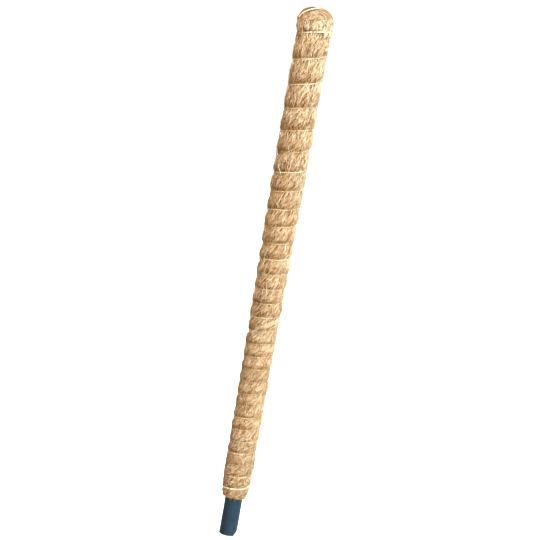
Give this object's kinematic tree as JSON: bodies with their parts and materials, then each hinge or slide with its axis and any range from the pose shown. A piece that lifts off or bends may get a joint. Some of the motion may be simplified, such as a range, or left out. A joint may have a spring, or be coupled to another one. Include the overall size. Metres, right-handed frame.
{
  "type": "moss pole",
  "caption": "Plant support pole: a plastic pipe wrapped in coir fibre, bound by spiral twine, with a rounded coir crown and a bare stub for the soil.",
  "frame": {"origin": "centre of the pipe's lower end, which goes down into the soil", "axes": "+Z along the pole towards the crown, -Y to the front, +X to the right as seen from the front"},
  "size_m": [0.0417, 0.0402, 0.6018],
  "materials": {
    "pipe": "dull slate blue PVC",
    "coir": "coarse straw-brown coconut fibre",
    "twine": "cream laid twine"
  },
  "bodies": {
    "root": {"core_pipe": "pipe", "coir_wrap_lower": "coir", "coir_wrap_upper": "coir", "crown_wad": "coir", "twine_lower": "twine", "twine_upper": "twine"}
  },
  "joints": []
}
